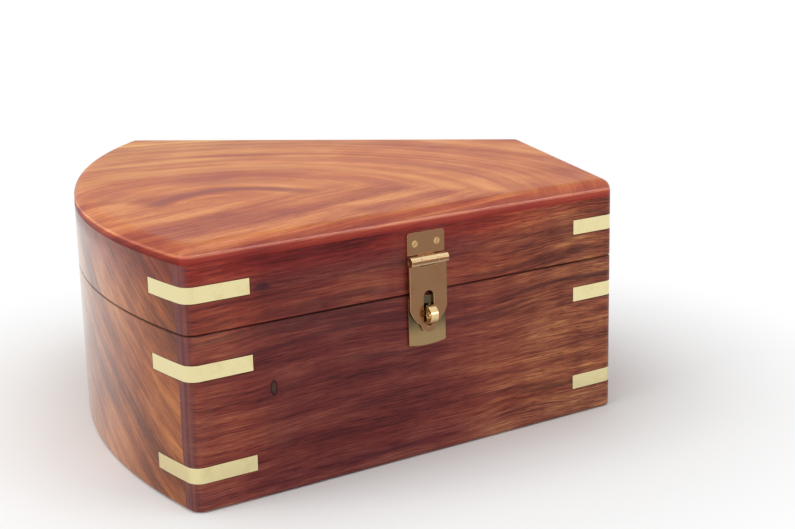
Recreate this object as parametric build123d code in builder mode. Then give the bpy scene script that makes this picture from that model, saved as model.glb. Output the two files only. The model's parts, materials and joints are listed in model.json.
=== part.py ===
"""Keystone-shaped wooden instrument case with a hinged lid, brass corner straps and a hasp.

Millimetres, +Z up. The origin is on the underside of the base, halfway between the bow of the wide
end and the narrow end. The front wall faces -Y and the case tapers towards +X.
"""

from build123d import *
import os
from math import cos, radians, sin, sqrt

# --- Plan of the case -------------------------------------------------------------------------
side_length = 280.0  # front and back walls, sharp corner to sharp corner
wide_chord = 372.0  # wide end, sharp corner to sharp corner
bow_radius = 400.0  # outside of the bent wide end
taper = 42.0  # degrees between the front and back walls
corner_radius = 7.0  # rounding of the upright corners

# --- Heights ----------------------------------------------------------------------------------
case_height = 93.0  # floor to the top of the case walls
lid_height = 45.6  # underside of the lid rails to the top of the lid
seam_gap = 0.4  # saw line between the case and the closed lid

# --- Boards -----------------------------------------------------------------------------------
wall = 10.0
base_thickness = 8.0
base_housing = 4.0  # how far the base is let into the walls
top_thickness = 10.0
top_round = 7.0  # rounded upper edge of the lid
bottom_round = 2.0
arris = 0.5  # broken edges along the saw line

# --- Corner straps ----------------------------------------------------------------------------
strap_width = 8.4
strap_thickness = 1.5
strap_reach_wide = 36.0  # from the sharp corner at the wide end to the strap's ends
strap_reach_narrow = 30.0
strap_to_base = 19.9  # underside of the case to the middle of the lower straps
strap_to_seam = 19.3  # saw line down to the middle of the upper straps
lid_strap_to_seam = 20.4  # saw line up to the middle of the lid straps

# --- Hinges on the back wall ------------------------------------------------------------------
hinge_length = 40.0
hinge_spread = 150.0  # between the middles of the two hinges
hinge_knuckles = 3
hinge_barrel_radius = 2.8
hinge_barrel_proud = 0.3  # back wall to the barrel
hinge_pin_radius = 1.3
hinge_leaf_depth = 8.5
hinge_leaf_thickness = 1.5
hinge_heel_reach = 7.5  # pin to the tip of a stop heel
hinge_screw_spread = 26.0  # between the two screws of a leaf
lid_opening = 105.0  # degrees at which the heels meet
heel_play = 0.5  # degrees left between the heels when the lid is fully open
knuckle_gap = 0.15  # beside and around each other's knuckles

# --- Hasp on the front wall -------------------------------------------------------------------
hasp_offset = 3.9  # from the middle of the front towards the narrow end
hasp_width = 24.5
hasp_sheet = 1.5
hasp_barrel_radius = 2.9
hasp_pin_radius = 1.2
hasp_pin_rise = 18.5  # top of the case walls up to the pin
hasp_leaf_rise = 15.5  # from the pin up to the top of the lid leaf
hasp_knuckle_width = 10.7  # middle knuckle, on the lid leaf
hasp_barrel_gap = 0.2  # between the barrel and the wood
flap_gap = 0.3  # between the flap and the plate behind it
flap_straight = 27.0  # from the pin down to where the flap's sides turn in
flap_neck = 35.7  # from the pin down to the foot of its shoulders
flap_neck_width = 10.8
flap_shoulder_swell = 1.0  # how far the shoulders stand out from a straight line
flap_nose = 39.2  # from the pin down to the corners of its nose
flap_nose_width = 7.4
flap_drop = 40.5  # from the pin down to the tip of the nose
flap_slot_width = 6.8
flap_slot_top = 17.0  # below the pin
flap_slot_bottom = 37.2
plate_inset = 1.6  # top of the case walls down to the plate
plate_height = 26.6  # down to the corners of its lower edge
plate_bow = 1.2  # from those corners down to the middle of the lower edge
plate_corner = 2.0
hasp_screw_inset = 5.0  # edge of the sheet to the middles of its screws

# --- Turning staple ---------------------------------------------------------------------------
staple_drop = 11.8  # top of the case walls down to the middle of the staple
staple_spindle_radius = 2.2
staple_head_width = 5.0
staple_head_half = 5.4
staple_head_depth = 5.4
staple_eye_radius = 1.9
staple_eye_reach = 2.6  # foot of the head to the middle of its eye
staple_flange_radius = 3.6
staple_flange_thickness = 1.2
staple_play = 0.15  # along the spindle

# --- Screws -----------------------------------------------------------------------------------
screw_head_radius = 2.0
screw_shank_radius = 1.0
screw_head_depth = 1.0
screw_length = 7.5

# --- Fits -------------------------------------------------------------------------------------
running_clearance = 0.05  # pin to turning knuckle, spindle to plate

# --- Rests for the instrument -----------------------------------------------------------------
leg_rest_size = 30.0
leg_rest_height = 14.0
leg_socket_radius = 8.0
leg_socket_depth = 6.0
legs_to_chord = 27.8  # wide end's chord to the middles of the two leg rests beside it
legs_to_corners = 86.0  # across the taper, from the wide end's corners to those two
leg_to_narrow_end = 45.6  # middle of the third to the outside of the narrow end
cradle_length = 70.0
cradle_thickness = 24.0
cradle_height = 44.0
cradle_notch_radius = 16.0
cradle_notch_sink = 8.0  # top of the cradle down to the middle of the notch's curve
cradle_round = 8.0
cradle_to_chord = 117.8
leg_rest_chamfer = 3.0

# --- Worked out from the sizes above ----------------------------------------------------------
half_taper = radians(taper / 2)
narrow_chord = wide_chord - 2 * side_length * sin(half_taper)
bow = bow_radius - sqrt(bow_radius**2 - (wide_chord / 2) ** 2)
taper_run = side_length * cos(half_taper)
wide_x = bow - (bow + taper_run) / 2
narrow_x = wide_x + taper_run
lid_bottom = case_height + seam_gap
lid_top = lid_bottom + lid_height
pin_height = case_height + seam_gap / 2
hasp_pin_height = case_height + hasp_pin_rise
plate_top = case_height - plate_inset
staple_height = case_height - staple_drop

legs_x = wide_x + legs_to_chord
legs_y = wide_chord / 2 - legs_to_corners
leg_rest_places = [(legs_x, -legs_y), (legs_x, legs_y), (narrow_x - leg_to_narrow_end, 0)]
cradle_place = (wide_x + cradle_to_chord, 0)

wide_front = (wide_x, -wide_chord / 2)
wide_back = (wide_x, wide_chord / 2)
narrow_front = (narrow_x, -narrow_chord / 2)
narrow_back = (narrow_x, narrow_chord / 2)

# The plan's own axes: x runs from the wide end to the narrow end, turned so the front faces -Y.
plan = Plane(origin=(0, 0, 0), x_dir=(cos(half_taper), -sin(half_taper), 0), z_dir=(0, 0, 1))
mid_x = (wide_x + narrow_x) / 2
mid_y = (wide_chord + narrow_chord) / 4
front = Plane(plan.from_local_coords((mid_x, -mid_y)), x_dir=(1, 0, 0), z_dir=(0, -1, 0))
back_normal = plan.from_local_coords(Vector(sin(half_taper), cos(half_taper)))
back = Plane(
    plan.from_local_coords((mid_x, mid_y)),
    x_dir=Vector(0, 0, 1).cross(back_normal),
    z_dir=back_normal,
)


# --- Plan outlines ----------------------------------------------------------------------------
with BuildSketch() as sharp_outline:
    with BuildLine():
        Line(wide_front, narrow_front)
        Line(narrow_front, narrow_back)
        Line(narrow_back, wide_back)
        ThreePointArc(wide_back, (wide_x - bow, 0), wide_front)
    make_face()

with BuildSketch() as outline:
    add(sharp_outline.sketch)
    fillet(outline.vertices(), corner_radius)

with BuildSketch() as wall_ring:
    add(outline.sketch)
    offset(sharp_outline.sketch, amount=-wall, kind=Kind.INTERSECTION, mode=Mode.SUBTRACT)

with BuildSketch() as base_outline:
    offset(
        sharp_outline.sketch,
        amount=base_housing - wall,
        kind=Kind.INTERSECTION,
    )


def straight_wall_plan(side):
    """Plan of the front (side = -1) or back (side = 1) wall, which runs through both its corners."""
    with BuildSketch() as strip:
        add(wall_ring.sketch)
        with Locations(Location((mid_x, side * mid_y, 0), (0, 0, -side * taper / 2))):
            Rectangle(2 * side_length, 2 * wall, mode=Mode.INTERSECT)
    return strip.sketch


front_plan = straight_wall_plan(-1)
back_plan = straight_wall_plan(1)


def end_wall_plan(side):
    """Plan of the bent wide end (side = -1) or the narrow end (side = 1), between the long walls."""
    with BuildSketch() as strip:
        add(wall_ring.sketch)
        add(front_plan, mode=Mode.SUBTRACT)
        add(back_plan, mode=Mode.SUBTRACT)
        with Locations((side * wide_chord, 0)):
            Rectangle(2 * wide_chord, 2 * wide_chord, mode=Mode.INTERSECT)
    return strip.sketch


# --- Closed box, rounded over, before it is sawn into case and lid -----------------------------
with BuildPart() as case_block:
    with BuildSketch(plan):
        add(outline.sketch)
    extrude(amount=case_height)
    fillet(case_block.faces().sort_by(Axis.Z)[0].edges(), bottom_round)
    chamfer(case_block.faces().sort_by(Axis.Z)[-1].edges(), arris)

with BuildPart() as lid_block:
    with BuildSketch(plan.offset(lid_bottom)):
        add(outline.sketch)
    extrude(amount=lid_height)
    fillet(lid_block.faces().sort_by(Axis.Z)[-1].edges(), top_round)
    chamfer(lid_block.faces().sort_by(Axis.Z)[0].edges(), arris)


# --- Corner straps ----------------------------------------------------------------------------
strap_corners = {
    "wide_front": (wide_front, strap_reach_wide),
    "wide_back": (wide_back, strap_reach_wide),
    "narrow_front": (narrow_front, strap_reach_narrow),
    "narrow_back": (narrow_back, strap_reach_narrow),
}


def corner_strap(corner, reach, middle, label):
    """Brass strap bent round one corner and let in flush, its middle at the given height."""
    with BuildPart() as strap:
        with BuildSketch(plan.offset(middle - strap_width / 2)):
            add(outline.sketch)
            offset(outline.sketch, amount=-strap_thickness, mode=Mode.SUBTRACT)
            with Locations(corner):
                Circle(reach, mode=Mode.INTERSECT)
        extrude(amount=strap_width)
    strap.part.label = label
    return strap.part


case_straps = []
lid_straps = []
for corner_name, (corner, reach) in strap_corners.items():
    case_straps += [
        corner_strap(corner, reach, strap_to_base, f"lower_strap_{corner_name}"),
        corner_strap(corner, reach, case_height - strap_to_seam, f"upper_strap_{corner_name}"),
    ]
    lid_straps += [
        corner_strap(corner, reach, lid_bottom + lid_strap_to_seam, f"lid_strap_{corner_name}"),
    ]


# --- Screws -----------------------------------------------------------------------------------
def countersunk_screws(seats, label):
    """Countersunk wood screws, one on each seat plane, heads flush and shanks along -z."""
    with BuildPart() as screws:
        for seat in seats:
            with BuildSketch(seat):
                Circle(screw_head_radius)
            with BuildSketch(seat.offset(-screw_head_depth)):
                Circle(screw_shank_radius)
            loft()
            with BuildSketch(seat.offset(-screw_head_depth)):
                Circle(screw_shank_radius)
            extrude(amount=screw_head_depth - screw_length)
    screws.part.label = label
    return screws.part


# --- Hinges -----------------------------------------------------------------------------------
hinge_places = {"wide_end": hinge_spread / 2, "narrow_end": -hinge_spread / 2}
hinge_barrel_u = hinge_barrel_radius + hinge_barrel_proud
knuckle_length = hinge_length / hinge_knuckles
heel_angle = radians((lid_opening + heel_play) / 2)
heel_tip = (
    hinge_barrel_u + hinge_heel_reach * cos(heel_angle),
    hinge_heel_reach * sin(heel_angle),
)


def hinge_section(place):
    """Plane square to the pin: x runs out of the back wall and y runs up from the pin's height."""
    centre = back.from_local_coords((place, pin_height, 0))
    return Plane(centre, x_dir=back.z_dir, z_dir=-back.x_dir)


def knuckle_middles(first):
    """Places along the pin of every second knuckle, starting with the given one."""
    return [
        (number + 0.5) * knuckle_length - hinge_length / 2
        for number in range(first, hinge_knuckles, 2)
    ]


def hinge_leaf(place, side, label):
    """Hinge leaf with its knuckles and stop heel: side = -1 on the case, side = 1 on the lid."""
    section = hinge_section(place)
    inner = side * seam_gap / 2
    outer = side * (seam_gap / 2 + hinge_leaf_thickness)
    others = knuckle_middles(0 if side == 1 else 1)
    notch_foot = hinge_barrel_u - hinge_barrel_radius - knuckle_gap
    bore = hinge_pin_radius + (running_clearance if side == 1 else 0)
    with BuildPart() as leaf:
        with BuildSketch(section):
            with BuildLine():
                Polyline(
                    (-hinge_leaf_depth, inner),
                    (hinge_barrel_u, inner),
                    (hinge_barrel_u, outer),
                    (-hinge_leaf_depth, outer),
                    close=True,
                )
            make_face()
            with BuildLine():
                Polyline(
                    (0, inner),
                    (hinge_barrel_u, 0),
                    (heel_tip[0], side * heel_tip[1]),
                    (0, side * hinge_heel_reach),
                    close=True,
                )
            make_face()
            with Locations((hinge_barrel_u, 0)):
                Circle(hinge_barrel_radius)
        extrude(amount=hinge_length / 2, both=True)
        for middle in others:
            with BuildSketch(section.offset(middle)):
                with Locations((notch_foot, 0)):
                    Rectangle(
                        hinge_length, 2 * hinge_heel_reach, align=(Align.MIN, Align.CENTER)
                    )
            extrude(amount=knuckle_length / 2 + knuckle_gap, both=True, mode=Mode.SUBTRACT)
        with BuildSketch(section):
            with Locations((hinge_barrel_u, 0)):
                Circle(bore)
        extrude(amount=hinge_length, both=True, mode=Mode.SUBTRACT)
        add(hinge_screws[side], mode=Mode.SUBTRACT)
    leaf.part.label = label
    return leaf.part


def hinge_screw_seats(side):
    """Seat planes of the screws of both leaves on one side of the saw line, heads to the gap."""
    up = Vector(0, 0, -side)
    return [
        Plane(
            back.from_local_coords(
                (
                    place + end * hinge_screw_spread / 2,
                    pin_height + side * seam_gap / 2,
                    -hinge_leaf_depth / 2,
                )
            ),
            x_dir=back.x_dir,
            z_dir=up,
        )
        for place in hinge_places.values()
        for end in (-1, 1)
    ]


hinge_screws = {
    -1: countersunk_screws(hinge_screw_seats(-1), "hinge_screws_case"),
    1: countersunk_screws(hinge_screw_seats(1), "hinge_screws_lid"),
}


def hinge_pin(place, label):
    """Pin through all the knuckles of one hinge."""
    with BuildPart() as pin:
        with BuildSketch(hinge_section(place)):
            with Locations((hinge_barrel_u, 0)):
                Circle(hinge_pin_radius)
        extrude(amount=hinge_length / 2, both=True)
    pin.part.label = label
    return pin.part


case_leaves = []
lid_leaves = []
hinge_pins = []
for place_name, place in hinge_places.items():
    case_leaves.append(hinge_leaf(place, -1, f"hinge_case_leaf_{place_name}"))
    lid_leaves.append(hinge_leaf(place, 1, f"hinge_lid_leaf_{place_name}"))
    hinge_pins.append(hinge_pin(place, f"hinge_pin_{place_name}"))


# --- Hasp -------------------------------------------------------------------------------------
hasp_barrel_v = hasp_barrel_radius + hasp_barrel_gap
flap_back = hasp_sheet + flap_gap
hasp_front = Plane(
    front.from_local_coords((hasp_offset, hasp_pin_height, 0)), x_dir=front.x_dir, z_dir=front.z_dir
)
hasp_section = Plane(hasp_front.origin, x_dir=front.z_dir, z_dir=-front.x_dir)
leaf_foot = hasp_barrel_radius + hasp_barrel_gap + knuckle_gap
hasp_screw_rise = (leaf_foot + hasp_leaf_rise) / 2
hasp_screw_side = hasp_width / 2 - hasp_screw_inset
plate_screw_drop = hasp_pin_height - plate_top + hasp_screw_inset


def hasp_screw_seats(height):
    """Seat planes of a pair of screws through sheet brass on the front, heads flush."""
    return [
        Plane(
            hasp_front.from_local_coords((side * hasp_screw_side, height, hasp_sheet)),
            x_dir=front.x_dir,
            z_dir=front.z_dir,
        )
        for side in (-1, 1)
    ]


hasp_leaf_screws = countersunk_screws(hasp_screw_seats(hasp_screw_rise), "hasp_leaf_screws")
hasp_plate_screws = countersunk_screws(hasp_screw_seats(-plate_screw_drop), "hasp_plate_screws")

with BuildPart() as hasp_leaf:
    with BuildSketch(hasp_front) as leaf_face:
        with Locations((0, leaf_foot)):
            Rectangle(hasp_width, hasp_leaf_rise - leaf_foot, align=(Align.CENTER, Align.MIN))
        fillet(leaf_face.vertices().group_by(Axis.Y)[-1], plate_corner)
        Rectangle(hasp_knuckle_width, 2 * leaf_foot, align=(Align.CENTER, Align.MIN))
    extrude(amount=hasp_sheet)
    with BuildSketch(hasp_section):
        with Locations((hasp_barrel_v, 0)):
            Circle(hasp_barrel_radius)
    extrude(amount=hasp_knuckle_width / 2, both=True)
    with BuildSketch(hasp_section):
        with Locations((hasp_barrel_v, 0)):
            Circle(hasp_pin_radius)
    extrude(amount=hasp_width, both=True, mode=Mode.SUBTRACT)
    add(hasp_leaf_screws, mode=Mode.SUBTRACT)
hasp_leaf.part.label = "hasp_leaf"

with BuildPart() as hasp_pin:
    with BuildSketch(hasp_section):
        with Locations((hasp_barrel_v, 0)):
            Circle(hasp_pin_radius)
    extrude(amount=hasp_width / 2, both=True)
hasp_pin.part.label = "hasp_pin"

with BuildPart() as hasp_flap:
    with BuildSketch(hasp_front.offset(flap_back)) as flap_face:
        with BuildLine():
            Polyline(
                (-hasp_width / 2, -flap_straight),
                (-hasp_width / 2, 0),
                (hasp_width / 2, 0),
                (hasp_width / 2, -flap_straight),
            )
            for side in (-1, 1):
                SagittaArc(
                    (side * hasp_width / 2, -flap_straight),
                    (side * flap_neck_width / 2, -flap_neck),
                    side * flap_shoulder_swell,
                )
                Line(
                    (side * flap_neck_width / 2, -flap_neck),
                    (side * flap_nose_width / 2, -flap_nose),
                )
            ThreePointArc(
                (flap_nose_width / 2, -flap_nose),
                (0, -flap_drop),
                (-flap_nose_width / 2, -flap_nose),
            )
        make_face()
        with Locations((0, -(flap_slot_top + flap_slot_bottom) / 2)):
            SlotOverall(
                flap_slot_bottom - flap_slot_top, flap_slot_width, rotation=90, mode=Mode.SUBTRACT
            )
    extrude(amount=hasp_sheet)
    with BuildSketch(hasp_section):
        with Locations((hasp_barrel_v, 0)):
            Circle(hasp_barrel_radius)
    extrude(amount=hasp_width / 2, both=True)
    with BuildSketch(hasp_front) as knuckle_notch:
        Rectangle(hasp_knuckle_width + 2 * knuckle_gap, 2 * leaf_foot)
    extrude(amount=2 * hasp_barrel_v, mode=Mode.SUBTRACT)
    with BuildSketch(hasp_section):
        with Locations((hasp_barrel_v, 0)):
            Circle(hasp_pin_radius + running_clearance)
    extrude(amount=hasp_width, both=True, mode=Mode.SUBTRACT)
hasp_flap.part.label = "hasp_flap"

# --- Plate below the flap and the staple that turns in it ---------------------------------------
staple_front = Plane(
    front.from_local_coords((hasp_offset, staple_height, 0)), x_dir=front.x_dir, z_dir=front.z_dir
)
staple_section = Plane(staple_front.origin, x_dir=front.z_dir, z_dir=-front.x_dir)
staple_head_foot = flap_back + hasp_sheet + flap_gap
plate_head = plate_top - staple_height
plate_foot = plate_head - plate_height

with BuildPart() as hasp_plate:
    with BuildSketch(staple_front) as plate_face:
        with BuildLine():
            Polyline(
                (-hasp_width / 2, plate_foot),
                (-hasp_width / 2, plate_head),
                (hasp_width / 2, plate_head),
                (hasp_width / 2, plate_foot),
            )
            ThreePointArc(
                (hasp_width / 2, plate_foot),
                (0, plate_foot - plate_bow),
                (-hasp_width / 2, plate_foot),
            )
        make_face()
        Circle(staple_spindle_radius + running_clearance, mode=Mode.SUBTRACT)
    extrude(amount=hasp_sheet)
    add(hasp_plate_screws, mode=Mode.SUBTRACT)
hasp_plate.part.label = "hasp_plate"

with BuildPart() as turning_staple:
    with BuildSketch(staple_front.offset(-staple_play)):
        Circle(staple_flange_radius)
    extrude(amount=-staple_flange_thickness)
    with BuildSketch(staple_front.offset(-staple_play)):
        Circle(staple_spindle_radius)
    extrude(amount=staple_play + staple_head_foot)
    with BuildSketch(staple_section):
        with BuildLine():
            Line((staple_head_foot, -staple_head_half), (staple_head_foot, staple_head_half))
            ThreePointArc(
                (staple_head_foot, staple_head_half),
                (staple_head_foot + staple_head_depth, 0),
                (staple_head_foot, -staple_head_half),
            )
        make_face()
        with Locations((staple_head_foot + staple_eye_reach, 0)):
            Circle(staple_eye_radius, mode=Mode.SUBTRACT)
    extrude(amount=staple_head_width / 2, both=True)
turning_staple.part.label = "turning_staple"

with BuildPart() as staple_pocket:
    with BuildSketch(staple_front):
        Circle(staple_flange_radius + knuckle_gap)
    extrude(amount=-(staple_flange_thickness + 2 * staple_play))

# --- Boards -----------------------------------------------------------------------------------
with BuildPart() as base_board:
    with BuildSketch(plan):
        add(base_outline.sketch)
    extrude(amount=base_thickness)
base_board.part.label = "base_board"

# Brass that is let into the boards
case_metal = [*case_straps, *case_leaves, hinge_screws[-1], hasp_plate_screws, staple_pocket.part]
lid_metal = [*lid_straps, *lid_leaves, hinge_screws[1], hasp_leaf_screws]


def case_board(board_plan, label):
    """Upright board of the case, housed for the base and cut for the brass that is let into it."""
    with BuildPart() as board:
        with BuildSketch(plan):
            add(board_plan)
        extrude(amount=case_height)
        add(case_block.part, mode=Mode.INTERSECT)
        add(base_board.part, mode=Mode.SUBTRACT)
        add(case_metal, mode=Mode.SUBTRACT)
    board.part.label = label
    return board.part


def lid_rail(rail_plan, label):
    """Rail of the lid under its top panel, cut for the brass that is let into it."""
    with BuildPart() as rail:
        with BuildSketch(plan.offset(lid_bottom)):
            add(rail_plan)
        extrude(amount=lid_height - top_thickness)
        add(lid_block.part, mode=Mode.INTERSECT)
        add(lid_metal, mode=Mode.SUBTRACT)
    rail.part.label = label
    return rail.part


case_boards = [
    case_board(front_plan, "front_board"),
    case_board(back_plan, "back_board"),
    case_board(end_wall_plan(-1), "bent_end_wall"),
    case_board(end_wall_plan(1), "narrow_end_board"),
]
lid_rails = [
    lid_rail(front_plan, "lid_front_rail"),
    lid_rail(back_plan, "lid_back_rail"),
    lid_rail(end_wall_plan(-1), "lid_bent_rail"),
    lid_rail(end_wall_plan(1), "lid_narrow_rail"),
]

with BuildPart() as lid_panel:
    with BuildSketch(plan.offset(lid_top - top_thickness)):
        add(outline.sketch)
    extrude(amount=top_thickness)
    add(lid_block.part, mode=Mode.INTERSECT)
lid_panel.part.label = "lid_panel"

# --- Rests for the instrument -----------------------------------------------------------------
leg_rests = []
for number, place in enumerate(leg_rest_places, start=1):
    with BuildPart() as leg_rest:
        with BuildSketch(plan.offset(base_thickness)) as rest_plan:
            with Locations(place):
                Rectangle(leg_rest_size, leg_rest_size)
            chamfer(rest_plan.vertices(), leg_rest_chamfer)
        extrude(amount=leg_rest_height)
        with BuildSketch(plan.offset(base_thickness + leg_rest_height)):
            with Locations(place):
                Circle(leg_socket_radius)
        extrude(amount=-leg_socket_depth, mode=Mode.SUBTRACT)
    leg_rest.part.label = f"leg_rest_{number}"
    leg_rests.append(leg_rest.part)

with BuildPart() as grip_cradle:
    cradle_origin = plan.from_local_coords((*cradle_place, base_thickness))
    with BuildSketch(Plane(cradle_origin, x_dir=plan.y_dir, z_dir=plan.x_dir)) as cradle_face:
        Rectangle(cradle_length, cradle_height, align=(Align.CENTER, Align.MIN))
        fillet(cradle_face.vertices().group_by(Axis.Y)[-1], cradle_round)
        with Locations((0, cradle_height - cradle_notch_sink)):
            Circle(cradle_notch_radius, mode=Mode.SUBTRACT)
            Rectangle(
                2 * cradle_notch_radius,
                cradle_height,
                align=(Align.CENTER, Align.MIN),
                mode=Mode.SUBTRACT,
            )
    extrude(amount=cradle_thickness / 2, both=True)
grip_cradle.part.label = "grip_cradle"

# --- Files ------------------------------------------------------------------------------------
pieces = [
    base_board.part,
    *case_boards,
    *case_straps,
    *leg_rests,
    grip_cradle.part,
    *case_leaves,
    *hinge_pins,
    hinge_screws[-1],
    hasp_plate.part,
    hasp_plate_screws,
    turning_staple.part,
    lid_panel.part,
    *lid_rails,
    *lid_straps,
    *lid_leaves,
    hinge_screws[1],
    hasp_leaf.part,
    hasp_leaf_screws,
    hasp_pin.part,
    hasp_flap.part,
]
os.makedirs("parts", exist_ok=True)
for piece in pieces:
    export_step(piece, f"parts/{piece.label}.step")
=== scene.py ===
"""Brass-bound hardwood instrument case on a pale table, seen from its wide front corner.

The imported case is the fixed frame. This script gives every piece of it a finish, swaps the plain
screws for slotted ones and sets the table, the soft daylight and the camera. Lengths in the
finishes are in millimetres in the case's own frame, everything else is in metres.
"""

import json
import logging
import math
from dataclasses import dataclass
from enum import Enum
from functools import reduce

import bmesh
import bpy
import numpy as np
from mathutils import Euler, Matrix, Vector

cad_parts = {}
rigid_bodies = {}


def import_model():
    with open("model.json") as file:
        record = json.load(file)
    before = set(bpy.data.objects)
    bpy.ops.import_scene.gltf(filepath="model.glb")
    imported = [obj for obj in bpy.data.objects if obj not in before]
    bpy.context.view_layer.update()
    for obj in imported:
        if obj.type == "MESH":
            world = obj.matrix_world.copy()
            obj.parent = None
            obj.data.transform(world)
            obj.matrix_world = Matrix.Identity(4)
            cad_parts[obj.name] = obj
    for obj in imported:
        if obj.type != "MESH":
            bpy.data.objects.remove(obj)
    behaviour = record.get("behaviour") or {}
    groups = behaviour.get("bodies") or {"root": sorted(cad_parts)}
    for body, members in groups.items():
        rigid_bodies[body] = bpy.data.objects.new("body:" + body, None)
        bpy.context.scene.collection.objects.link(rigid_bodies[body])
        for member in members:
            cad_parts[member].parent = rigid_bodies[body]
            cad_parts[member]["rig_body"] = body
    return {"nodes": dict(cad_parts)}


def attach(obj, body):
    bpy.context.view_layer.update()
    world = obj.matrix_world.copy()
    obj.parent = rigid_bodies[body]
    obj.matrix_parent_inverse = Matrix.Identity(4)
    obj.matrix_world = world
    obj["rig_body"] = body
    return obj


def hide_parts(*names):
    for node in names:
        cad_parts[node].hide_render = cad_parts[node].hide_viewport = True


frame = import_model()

LOG = logging.getLogger("case")
MM = 0.001

# The mask that keeps the level part of a vector, and three directions.
LEVEL = (1.0, 1.0, 0.0)
UP = (0.0, 0.0, 1.0)
DOWN = (0.0, 0.0, -1.0)
FORWARD = (0.0, -1.0, 0.0)

Triple = tuple[float, float, float]


# --- Shader nodes ---
class Wire:
    """The output of a shader node, with arithmetic that adds further nodes."""

    def __init__(self, graph: "Graph", socket: bpy.types.NodeSocket) -> None:
        """Wrap one output socket of a graph."""
        self.graph = graph
        self.socket = socket

    def __add__(self, other: "Operand") -> "Wire":
        """Sum, for numbers or component by component."""
        return self.graph.calculate("ADD", self, other)

    def __radd__(self, other: "Operand") -> "Wire":
        """Sum with the plain value first."""
        return self.graph.calculate("ADD", other, self)

    def __sub__(self, other: "Operand") -> "Wire":
        """Difference."""
        return self.graph.calculate("SUBTRACT", self, other)

    def __rsub__(self, other: "Operand") -> "Wire":
        """Difference with the plain value first."""
        return self.graph.calculate("SUBTRACT", other, self)

    def __mul__(self, other: "Operand") -> "Wire":
        """Product."""
        return self.graph.calculate("MULTIPLY", self, other)

    def __rmul__(self, other: "Operand") -> "Wire":
        """Product with the plain value first."""
        return self.graph.calculate("MULTIPLY", other, self)

    def __truediv__(self, other: "Operand") -> "Wire":
        """Quotient."""
        return self.graph.calculate("DIVIDE", self, other)

    def __rtruediv__(self, other: "Operand") -> "Wire":
        """Quotient with the plain value first."""
        return self.graph.calculate("DIVIDE", other, self)

    def __neg__(self) -> "Wire":
        """Opposite value."""
        return self.graph.calculate("MULTIPLY", self, -1.0)

    def lowest(self, other: "Operand") -> "Wire":
        """Smaller of two values."""
        return self.graph.calculate("MINIMUM", self, other)

    def highest(self, other: "Operand") -> "Wire":
        """Larger of two values."""
        return self.graph.calculate("MAXIMUM", self, other)

    def size(self) -> "Wire":
        """Value without its sign."""
        return self.graph.calculate("ABSOLUTE", self)

    def dot(self, direction: Triple) -> "Wire":
        """Length along a fixed direction."""
        settings = {"operation": "DOT_PRODUCT"}
        return self.graph.node("ShaderNodeVectorMath", settings, {0: self, 1: direction}, "Value")

    def length(self) -> "Wire":
        """Length of a vector."""
        return self.graph.node("ShaderNodeVectorMath", {"operation": "LENGTH"}, {0: self}, "Value")

    def part(self, axis: str) -> "Wire":
        """One component, X, Y or Z."""
        return self.graph.node("ShaderNodeSeparateXYZ", {}, {0: self}, axis)

    def rise(self, start: float, end: float) -> "Wire":
        """Step smoothly from 0 at start to 1 at end.

        Args:
            start: Value that gives 0. It may be the larger of the two.
            end: Value that gives 1.

        Returns:
            A number from 0 to 1.
        """
        flip = start > end
        low, high = (end, start) if flip else (start, end)
        step = self.graph.node(
            "ShaderNodeMapRange",
            {"interpolation_type": "SMOOTHSTEP"},
            {"Value": self, "From Min": low, "From Max": high},
            "Result",
        )
        return 1.0 - step if flip else step

    def blend(self, low: "Operand", high: "Operand") -> "Wire":
        """Colour between two colours, this number being the share of the second."""
        inputs = {0: self, 6: low, 7: high}
        return self.graph.node("ShaderNodeMix", {"data_type": "RGBA"}, inputs, 2)

    def toned(self, share: "Wire", tone: "Operand") -> "Wire":
        """Colour multiplied by a tone as far as the share goes."""
        return share.blend(self, self * tone)

    def ramp(self, stops: tuple[tuple[float, Triple], ...]) -> "Wire":
        """Read a colour off a ramp.

        Args:
            stops: Positions from 0 to 1 and their colours, in rising order.

        Returns:
            The colour where this number stands on the ramp.
        """
        wire = self.graph.node("ShaderNodeValToRGB", {}, {"Fac": self}, "Color")
        elements = wire.socket.node.color_ramp.elements
        while len(elements) < len(stops):
            elements.new(1.0)
        for element, (place, colour) in zip(elements, stops):
            element.position = place
            element.color = (*colour, 1.0)
        return wire


Operand = Wire | float | Triple


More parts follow.
